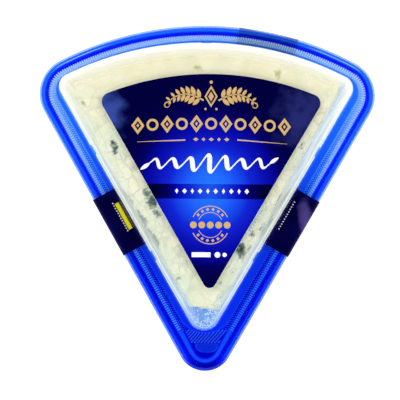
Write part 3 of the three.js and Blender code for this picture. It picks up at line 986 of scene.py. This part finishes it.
# The floor that the crumbs lie on, the numbers of drops, crumbs and their shapes, and a dry patch's size.
HOLLOW = dict(CHEESE, axis=-0.9, apex=-50.6, tip=4.6)
DROPS = 9000
CRUMBS = 34
CRUMB_SHAPES = 4
PATCH = 3.2


def make_droplets():
    """Condensation on the underside of the lid, thickest over the hollow at the tip and down the gaps."""
    bpy.ops.mesh.primitive_uv_sphere_add(segments=8, ring_count=5, radius=0.5)
    seed = bpy.context.object
    reach = shrunk(LID, 1.9, 0, tip=4.2)
    places = []
    for _ in range(DROPS):
        x, y = rng.uniform(-27, 27), -47 + 43 * rng.random() ** 1.6
        size = 0.2 + 0.4 * rng.random() ** 2
        over_cheese = y > BLUNT_END + 0.6 and past_side(CHEESE, x, y) < 0.2
        dry = noise.fractal(Vector((x / PATCH, y / PATCH, 8.0)), 1.0, 2.0, 2) > (0.16 if x < 0 else -0.05)
        if over_cheese or dry or not inside(np.array([(x, y)]), reach)[0]:
            continue
        flat = (size, size * rng.uniform(0.8, 1.2), size * 0.5)
        places.append(Matrix.LocRotScale((x, y, SHOULDER_TOP - LID_WALL - 0.02), None, flat))
    return scattered("condensation", [seed], places)


def make_crumbs():
    """Crumbs of cheese that fell from the blunt end."""
    seeds = []
    for _ in range(CRUMB_SHAPES):
        bpy.ops.mesh.primitive_ico_sphere_add(subdivisions=2, radius=0.5)
        seed = bpy.context.object
        rough = points_of(seed) * (1 + rng.uniform(-0.22, 0.22, (len(seed.data.vertices), 1)))
        seed.data.vertices.foreach_set("co", rough.reshape(-1))
        seeds.append(seed)
    area = sector(**HOLLOW)
    places = []
    for _ in range(CRUMBS):
        x = rng.uniform(-6.5, 6)
        y = BLUNT_END - 0.2 - 5.5 * rng.random() ** 2.2
        size = 0.3 + 0.9 * rng.random() ** 2
        if inside(np.array([(x, y)]), area)[0]:
            turn = Euler(rng.uniform(0, 6.28, 3))
            flat = size * rng.uniform(0.6, 1.1, 3)
            places.append(Matrix.LocRotScale((x, y, FLOOR_TOP + size * 0.4), turn, flat))
    return scattered("crumbs", seeds, places)


droplets = make_droplets()
crumbs = make_crumbs()

# ---------------------------------------------------------------- materials

FILM_IOR = 1.45
VARNISH_IOR = 1.5


def linear(hex_colour):
    channels = [int(hex_colour[i:i + 2], 16) / 255 for i in (1, 3, 5)]
    return [c / 12.92 if c <= 0.04045 else ((c + 0.055) / 1.055) ** 2.4 for c in channels] + [1]


def node(tree, kind, inputs=None, out=0, stops=(), **settings):
    """Adds one node with its settings and links, and gives one of its outputs, or the node if out is None."""
    made = tree.nodes.new("ShaderNode" + kind)
    for name, value in settings.items():
        setattr(made, name, value)
    if stops:
        elements = made.color_ramp.elements
        while len(elements) < len(stops):
            elements.new(0.5)
        for element, (position, colour) in zip(elements, stops):
            element.position = position
            element.color = linear(colour)
    for name, value in (inputs or {}).items():
        socket = made.inputs[name]
        if isinstance(value, bpy.types.NodeSocket):
            tree.links.new(value, socket)
        else:
            socket.default_value = value
    return made if out is None else made.outputs[out]


def material(name, surface):
    """A material. Its surface comes from a function, which gets another one that adds nodes to the tree."""
    made = bpy.data.materials.new(name)
    made.use_nodes = True
    made.node_tree.nodes.clear()
    add = partial(node, made.node_tree)
    add("OutputMaterial", {"Surface": surface(add)}, out=None)
    return made


def glazed(add, film, roughness):
    """A glossy thin film: it mirrors by Fresnel, most where it slants, and only on its outer side."""
    shine = add("BsdfGlossy", {"Color": (1, 1, 1, 1), "Roughness": roughness})
    fresnel = add("Fresnel", {"IOR": FILM_IOR})
    inner = add("NewGeometry", out="Backfacing")
    outer = add("Math", {0: 1, 1: inner}, operation="SUBTRACT")
    slanting = add("Math", {0: fresnel, 1: 0.8, 2: 0.1}, operation="MULTIPLY_ADD")
    share = add("Math", {0: fresnel, 1: slanting}, operation="MULTIPLY")
    share = add("Math", {0: share, 1: outer}, operation="MULTIPLY")
    return add("MixShader", {0: share, 1: film, 2: shine})


def along_sides(add, coords):
    """Coordinates that run along the slanting sides, mirrored left and right."""
    apart = add("SeparateXYZ", {0: coords}, out=None).outputs
    out = add("Math", {0: apart["X"]}, operation="ABSOLUTE")
    folded = add("CombineXYZ", {0: out, 1: apart["Y"], 2: apart["Z"]})
    return add("VectorRotate", {"Vector": folded, "Angle": math.radians(30)}, rotation_type="Z_AXIS")


def blue_film(add):
    """Blue PET film, heat-formed: glossy and see-through, with painted shade deeper blue in its creases and
    towards the tip and painted light paler at the rear.
    """
    tone = add("Attribute", out="Fac", attribute_name="tone")
    colour = add("ValToRGB", {"Fac": tone}, stops=[
        (0, "#E2F2FF"), (0.12, "#A8DAFF"), (0.3, "#54A8FF"), (0.38, "#2A8CFF"), (0.46, "#2068FC"),
        (0.6, "#144AF4"), (0.72, "#0628F0"), (0.85, "#0214E6"), (0.93, "#0008CB"), (1, "#000398"),
    ])
    tint = add("Gamma", {"Color": colour, "Gamma": 0.5})
    through = add("BsdfTransparent", {"Color": tint})
    own = add("BsdfDiffuse", {"Color": colour})
    film = add("MixShader", {0: 0.4, 1: through, 2: own})
    return glazed(add, film, 0.16)


def clear_film(add):
    """Clear PET film, heat-formed: glossy and misted on its walls. Part of the mist is painted highlight, and
    its cut edge is painted blue: light from the tray on the sides, shade at the tip.
    """
    coords = add("TexCoord", out="Object")
    tone = add("Attribute", out="Fac", attribute_name="tone")
    # Mist in streaks up the walls, even where it is thick and where the film is seen edge on; the even white
    # at the rear is a painted highlight.
    drawn = add("VectorMath", {0: along_sides(add, coords), 1: (1, 0.12, 0.4)}, operation="MULTIPLY")
    streaks = add("TexNoise", {"Vector": drawn, "Scale": 800, "Detail": 3})
    scatter = add("MapRange", {
        "Value": streaks, "From Min": 0.4, "From Max": 0.62, "To Min": 0.5, "To Max": 0.85,
    })
    height = add("SeparateXYZ", {0: coords}, out="Y")
    rear = add("MapRange", {"Value": height, "From Min": 0.036, "From Max": 0.042})
    edge_on = add("LayerWeight", {"Blend": 0.4}, out="Facing")
    for evener in (edge_on, rear, tone):
        scatter = add("Math", {0: scatter, 1: evener}, operation="MAXIMUM")
    haze = add("Math", {0: tone, 1: scatter}, operation="MULTIPLY", use_clamp=True)
    # Below 0 the tone paints the cut edge's blue, in its colour and its see-through tint: painted light from
    # the blue tray on the sides, painted shade at the tip.
    lip = add("Math", {0: tone, 1: -1}, operation="MULTIPLY", use_clamp=True)
    # The mist's colour is painted light from what lies below it: bluish over the tray at the tip, cream over
    # the cheese at the rear.
    length = add("MapRange", {"Value": height, "From Min": -0.048, "From Max": 0.052})
    misted = add("ValToRGB", {"Fac": length}, stops=[
        (0, "#C0E8F4"), (0.1, "#DCF0F0"), (0.2, "#EEF7EC"), (0.8, "#F8FCF0"), (0.93, "#FFFEF0"),
    ])
    cut = add("ValToRGB", {"Fac": lip}, stops=[(0.1, "#D6E4FC"), (0.5, "#9CC8FA"), (1, "#0412C0")])
    edge = add("Math", {0: lip, 1: 10}, operation="MULTIPLY", use_clamp=True)
    body = add("Mix", {0: edge, 6: misted, 7: cut}, out=2, data_type="RGBA")
    tint = add("ValToRGB", {"Fac": lip}, stops=[(0, "#FCFDFF"), (0.5, "#D0E2FF"), (1, "#3060F0")])
    milky = add("Math", {0: lip, 1: 0.5}, operation="MULTIPLY")
    share = add("Math", {0: haze, 1: milky}, operation="MAXIMUM")
    through = add("BsdfTransparent", {"Color": tint})
    wet = add("BsdfDiffuse", {"Color": body})
    film = add("MixShader", {0: share, 1: through, 2: wet})
    return glazed(add, film, 0.1)


def pressed_seal(add):
    """Two films welded under a knurled bar; the paler blue at the rear is painted light, where the marks
    glint.
    """
    tone = add("Attribute", out="Fac", attribute_name="tone")
    colour = add("ValToRGB", {"Fac": tone}, stops=[
        (0, "#BCD4FF"), (0.3, "#84BCFF"), (0.62, "#4C98FF"), (0.8, "#2A62FA"), (1, "#1E44EE"),
    ])
    through = add("BsdfTransparent", {"Color": linear("#D5E6FF")})
    body = add("BsdfPrincipled", {"Base Color": colour, "Roughness": 0.3, "IOR": 1.57})
    return add("MixShader", {0: 0.8, 1: through, 2: body})


def lumpy_paste(add, coords, rear):
    """Curd in lumps, about 3 mm wide and 6 mm long, each of its own shade, with fine creases between them
    that are darkened as painted shade.
    """
    cloud = add("TexNoise", {"Vector": coords, "Scale": 140, "Detail": 4})
    paste = add("ValToRGB", {"Fac": cloud}, stops=[(0.3, "#ECF0D4"), (0.5, "#F7F6DE"), (0.7, "#FEF9E4")])
    cream = add("ValToRGB", {"Fac": cloud}, stops=[(0.3, "#F3EDC8"), (0.5, "#F8F1CE"), (0.7, "#FCF6D8")])
    base = add("Mix", {0: rear, 6: paste, 7: cream}, out=2, data_type="RGBA")
    wander = add("TexNoise", {"Vector": coords, "Scale": 500, "Detail": 2}, out="Color")
    wander = add("VectorMath", {0: wander, 1: (0.0024, 0.0024, 0)}, operation="MULTIPLY")
    along = add("VectorMath", {0: along_sides(add, coords), 1: wander}, operation="ADD")
    laid = add("VectorMath", {0: along, 1: (1.25, 0.62, 0)}, operation="MULTIPLY")
    lumps = {"Vector": laid, "Scale": 280, "Randomness": 0.6}
    curd = add("TexVoronoi", lumps, out="Color")
    shade = add("ValToRGB", {"Fac": curd}, stops=[
        (0, "#FFFFFF"), (0.3, "#FFFBF0"), (0.6, "#F6F9F4"), (0.8, "#FFFEF8"), (1, "#EEF2EA"),
    ])
    base = add("Mix", {0: 1, 6: base, 7: shade}, out=2, data_type="RGBA", blend_type="MULTIPLY")
    border = add("TexVoronoi", lumps, out="Distance", feature="DISTANCE_TO_EDGE")
    line = add("MapRange", {"Value": border, "From Min": 0, "From Max": 0.09, "To Min": 1, "To Max": 0})
    shows = add("MapRange", {"Value": cloud, "From Min": 0.4, "From Max": 0.55, "To Min": 0.15})
    before = add("Math", {0: rear, 1: -0.85, 2: 1}, operation="MULTIPLY_ADD")
    for fading in (shows, before):
        line = add("Math", {0: line, 1: fading}, operation="MULTIPLY")
    crack = add("Attribute", out="Fac", attribute_name="crack")
    crack = add("Math", {0: crack, 1: line}, operation="MAXIMUM")
    # The cracks and the lines between lumps are darkened grey-green: painted shade.
    crease_shade = add("Math", {0: crack, 1: 0.75}, operation="MULTIPLY")
    return add("Mix", {0: crease_shade, 6: base, 7: linear("#C2C8AC")}, out=2, data_type="RGBA")


def blue_cheese(add):
    """Ripe blue cheese: moist, creamy and a little see-through paste, with blue-green mould in its veins."""
    coords = add("TexCoord", out="Object")
    height = add("SeparateXYZ", {0: coords}, out="Y")
    rear = add("MapRange", {
        "Value": height, "From Min": 0.02, "From Max": 0.044,
    }, interpolation_type="SMOOTHSTEP")
    base = lumpy_paste(add, coords, rear)
    # The mould is blue-green in the paste and olive in the cream at the rear, and ragged at its edges.
    mould = add("Attribute", out="Fac", attribute_name="mould")
    fleck = add("TexNoise", {"Vector": coords, "Scale": 900, "Detail": 3})
    broken = add("Math", {0: fleck, 1: 0.56, 2: -0.3}, operation="MULTIPLY_ADD")
    ragged = add("Math", {0: mould, 1: broken}, operation="ADD")
    shown = add("MapRange", {
        "Value": ragged, "From Min": 0.05, "From Max": 1.05,
    }, interpolation_type="SMOOTHSTEP")
    blue = add("ValToRGB", {"Fac": shown}, stops=[
        (0, "#D8DEC6"), (0.25, "#BAC5B0"), (0.55, "#8A9A8A"), (0.8, "#5C6E66"), (1, "#32423E"),
    ])
    olive = add("ValToRGB", {"Fac": shown}, stops=[(0, "#E6E3B4"), (0.5, "#C9CB8C"), (1, "#96964E")])
    growth = add("Mix", {0: rear, 6: blue, 7: olive}, out=2, data_type="RGBA")
    cover = add("MapRange", {
        "Value": shown, "From Min": 0, "From Max": 0.35,
    }, interpolation_type="SMOOTHSTEP")
    colour = add("Mix", {0: cover, 6: base, 7: growth}, out=2, data_type="RGBA")
    grain = add("TexNoise", {"Vector": coords, "Scale": 1600, "Detail": 2})
    bump = add("Bump", {"Strength": 0.35, "Distance": 0.0003, "Height": grain})
    return add("BsdfPrincipled", {
        "Base Color": colour, "Roughness": 0.5, "IOR": 1.45, "Normal": bump,
        "Subsurface Weight": 0.25, "Subsurface Radius": (0.9, 0.8, 0.5), "Subsurface Scale": 0.002,
    }, subsurface_method="RANDOM_WALK")


def white_paper(add):
    """Coated white label stock, seen along its cut edge."""
    coords = add("TexCoord", out="Object")
    fibre = add("TexNoise", {"Vector": coords, "Scale": 2200, "Detail": 2})
    colour = add("ValToRGB", {"Fac": fibre}, stops=[(0.3, "#EDEFF4"), (0.7, "#FFFFFF")])
    return add("BsdfPrincipled", {"Base Color": colour, "Roughness": 0.4})


def painted_reflection(add, coords, colour, place, radius, pale, waves, lengthwise=1.0):
    """A soft cloudy patch of painted reflection in a varnished print: glare drawn into its colour."""
    off = add("VectorMath", {0: coords, 1: place}, operation="SUBTRACT")
    off = add("VectorMath", {0: off, 1: (1, lengthwise, 1)}, operation="MULTIPLY")
    far = add("VectorMath", {0: off}, out="Value", operation="LENGTH")
    far = add("Math", {0: waves, 1: radius * 1.6, 2: far}, operation="MULTIPLY_ADD")
    share = add("MapRange", {
        "Value": far, "From Min": radius * 1.9, "From Max": radius * 0.9,
    }, interpolation_type="SMOOTHSTEP")
    return add("Mix", {0: share, 6: colour, 7: linear(pale)}, out=2, data_type="RGBA")


# Half width and height of the field's glow in metres, its middle, and the band's middle and half height.
GLOW_WIDE, GLOW_HIGH = 0.026, 0.027
GLOW_X, GLOW_Y = 0.0011, 0.003
BAND_Y, BAND_HALF = 0.0024, 0.0026


def printed_field(add):
    """Gloss-varnished print: navy that glows to royal blue in the middle, with a darker band across it."""
    coords = add("TexCoord", out="Object")
    placed = add("Mapping", {
        "Vector": coords,
        "Location": (-GLOW_X / GLOW_WIDE, -GLOW_Y / GLOW_HIGH, 0),
        "Scale": (1 / GLOW_WIDE, 1 / GLOW_HIGH, 0),
    }, vector_type="POINT")
    reach = add("VectorMath", {0: placed}, out="Value", operation="LENGTH")
    share = add("Math", {0: reach, 1: 0.6}, operation="MULTIPLY")
    field = add("ValToRGB", {"Fac": share}, stops=[
        (0, "#2578F8"), (0.15, "#1E62F4"), (0.24, "#1648E4"), (0.33, "#0F22CA"), (0.432, "#0910AC"),
        (0.51, "#050694"), (0.558, "#040276"), (0.6, "#030056"), (0.69, "#020040"), (0.81, "#010038"),
    ])
    apart = add("SeparateXYZ", {0: coords}, out=None).outputs
    off, wide = (
        add("Math", {
            0: add("Math", {0: apart[axis], 1: middle}, operation="SUBTRACT"),
        }, operation="ABSOLUTE")
        for axis, middle in (("Y", BAND_Y), ("X", GLOW_X))
    )
    banded = add("Math", {0: off, 1: BAND_HALF}, operation="LESS_THAN")
    wide = add("Math", {0: wide, 1: 50}, operation="MULTIPLY")
    band = add("ValToRGB", {"Fac": wide}, stops=[
        (0, "#1B50E2"), (0.35, "#0D24C4"), (0.55, "#0306A6"), (0.72, "#02005D"), (0.9, "#000032"),
    ])
    colour = add("Mix", {0: banded, 6: field, 7: band}, out=2, data_type="RGBA")
    waves = add("TexNoise", {"Vector": coords, "Scale": 70, "Detail": 2})
    cloudy = add("TexNoise", {"Vector": coords, "Scale": 180, "Detail": 3})
    # Painted reflections of glare near the label's upper corners.
    colour = painted_reflection(add, coords, colour, (-0.0355, 0.0300, 0.0208), 0.0082, "#33489A", cloudy, 0.7)
    colour = painted_reflection(add, coords, colour, (0.0345, 0.029, 0.0208), 0.013, "#24286A", cloudy)
    bump = add("Bump", {"Strength": 0.25, "Distance": 0.0006, "Height": waves})
    return add("BsdfPrincipled", {
        "Base Color": colour, "Roughness": 0.14, "IOR": VARNISH_IOR, "Normal": bump,
    })


def navy_label(add):
    """The back label: navy print under gloss varnish, cockled at the rim, and the paper's bare back."""
    coords = add("TexCoord", out="Object")
    cloud = add("TexNoise", {"Vector": coords, "Scale": 120, "Detail": 2})
    navy = add("ValToRGB", {"Fac": cloud}, stops=[(0.35, "#03003A"), (0.7, "#07044A")])
    waves = add("TexNoise", {"Vector": coords, "Scale": 160, "Detail": 2})
    # A painted reflection of glare on the right arm.
    navy = painted_reflection(add, coords, navy, (0.0352, -0.0065, 0.0064), 0.0026, "#4C4189", waves, 0.4)
    bare = add("Attribute", out="Fac", attribute_name="bare")
    behind = add("Math", {0: bare, 1: 0.95}, operation="GREATER_THAN")
    height = add("SeparateXYZ", {0: coords}, out="Y")
    on_tab = add("Math", {0: height, 1: 0.052}, operation="GREATER_THAN")
    back = add("Mix", {0: on_tab, 6: linear("#DDE4F4"), 7: linear("#081466")}, out=2, data_type="RGBA")
    colour = add("Mix", {0: behind, 6: navy, 7: back}, out=2, data_type="RGBA")
    bump = add("Bump", {"Strength": 0.5, "Distance": 0.0008, "Height": waves})
    return add("BsdfPrincipled", {
        "Base Color": colour, "Roughness": 0.25, "IOR": VARNISH_IOR, "Normal": bump,
        "Specular IOR Level": 0.07,
    })


def ink(colour):
    """Opaque ink, printed on the label and varnished with it."""
    return lambda add: add("BsdfPrincipled", {
        "Base Color": linear(colour), "Roughness": 0.35, "Specular IOR Level": 0.3,
    })


def condensed_water(add):
    """Small drops that scatter the light: pale, with a glint on each."""
    through = add("BsdfTransparent", {"Color": linear("#E6F0FF")})
    own = add("BsdfDiffuse", {"Color": linear("#E6FAFF")})
    film = add("MixShader", {0: 0.56, 1: through, 2: own})
    return glazed(add, film, 0.05)


def light_table(add):
    """An even white floor that glows a little, so that shadows on it stay faint."""
    return add("BsdfPrincipled", {
        "Base Color": linear("#F6F6F6"), "Roughness": 1, "Specular IOR Level": 0,
        "Emission Color": (1, 1, 1, 1), "Emission Strength": 0.45,
    })


# ---------------------------------------------------------------- finishing


def finished(piece, slot, name, surface, *nodes):
    """Brings a piece to metres, dresses it, and ties it to the frame."""
    piece.data.transform(Matrix.Scale(MM, 4))
    piece.data.materials.clear()
    piece.data.materials.append(material(name, surface))
    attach(piece, "root")
    if nodes:
        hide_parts(*nodes)


finished(tray, "blue_tray", "heat-formed blue PET film", blue_film, "tray")
finished(lid, "clear_lid", "heat-formed clear PET film", clear_film, "lid")
finished(knurl, "blue_tray", "knurled heat seal", pressed_seal)
finished(pad, "blue_tray", "heat-formed blue PET film", blue_film)
finished(cheese, "cheese", "blue-veined cheese paste", blue_cheese, "cheese")
finished(front_label, "front_label", "coated label paper", white_paper, "front_label")
finished(front_field, "front_label", "gloss-varnished blue print", printed_field)
finished(back_label, "back_label", "gloss-varnished navy print", navy_label, "back_label")
finished(gold_print, "front_label", "dull gold ink", ink("#CDAA6E"))
finished(white_print, "front_label", "white ink", ink("#F2F4FA"))
finished(side_print, "front_label", "pale blue ink", ink("#8FA6E6"))
finished(yellow_print, "back_label", "yellow ink", ink("#FFF40C"))
finished(arm_print, "back_label", "white ink", ink("#F2F4FA"))
finished(droplets, "clear_lid", "condensed water", condensed_water)
finished(crumbs, "cheese", "blue-veined cheese paste", blue_cheese)

# ---------------------------------------------------------------- floor, light and camera

# Each lamp's name, place in metres, size and power.
LAMPS = [
    ("rear_left", (-0.52, 0.46, 0.72), 0.8, 3.8),
    ("rear_right", (0.60, 0.42, 0.72), 0.7, 3.4),
    ("front_left", (-0.60, -0.40, 0.72), 0.7, 3.4),
    ("front_right", (0.60, -0.42, 0.72), 0.7, 3.4),
]
SENSOR_WIDTH = 36
VIEW_DISTANCE = 700
VIEW_WIDTH = 142.8
CAMERA_PLACE = (-0.00225, -0.0006, 0.7057)
CAMERA_ROLL = math.radians(0.52)


def in_scene(name, data):
    holder = bpy.data.objects.new(name, data)
    bpy.context.scene.collection.objects.link(holder)
    return holder


def stage():
    bpy.ops.mesh.primitive_plane_add(size=8)
    floor = bpy.context.object
    floor.name = "floor"
    floor.data.materials.append(material("white light table", light_table))

    world = bpy.data.worlds.new("soft studio")
    world.use_nodes = True
    world.node_tree.nodes.clear()
    add = partial(node, world.node_tree)
    coords = add("TexCoord", out="Generated")
    up = add("SeparateXYZ", {0: coords}, out="Z")
    sky = add("ValToRGB", {"Fac": up}, stops=[
        (0, "#FFFFFF"), (0.35, "#E8E8E8"), (0.8, "#555555"), (0.95, "#101010"),
    ])
    back = add("Background", {"Color": sky, "Strength": 1.0})
    add("OutputWorld", {"Surface": back}, out=None)
    bpy.context.scene.world = world

    for name, place, size, power in LAMPS:
        lamp = bpy.data.lights.new(name, "AREA")
        lamp.shape = "SQUARE"
        lamp.size = size
        lamp.energy = power
        holder = in_scene(name, lamp)
        holder.location = place
        holder.rotation_euler = (-Vector(place)).to_track_quat("-Z", "Y").to_euler()
        # The film's creases would mirror the lamps as rows of dots.
        holder.visible_glossy = False


def camera():
    """Straight down, 700 mm above the rim."""
    data = bpy.data.cameras.new("camera")
    data.sensor_width = SENSOR_WIDTH
    data.lens = SENSOR_WIDTH * VIEW_DISTANCE / VIEW_WIDTH
    holder = in_scene("camera", data)
    holder.location = CAMERA_PLACE
    holder.rotation_euler = Euler((0, 0, CAMERA_ROLL))
    bpy.context.scene.camera = holder


stage()
camera()
bpy.context.scene.view_settings.view_transform = "Standard"
bpy.context.scene.cycles.transparent_max_bounces = 32
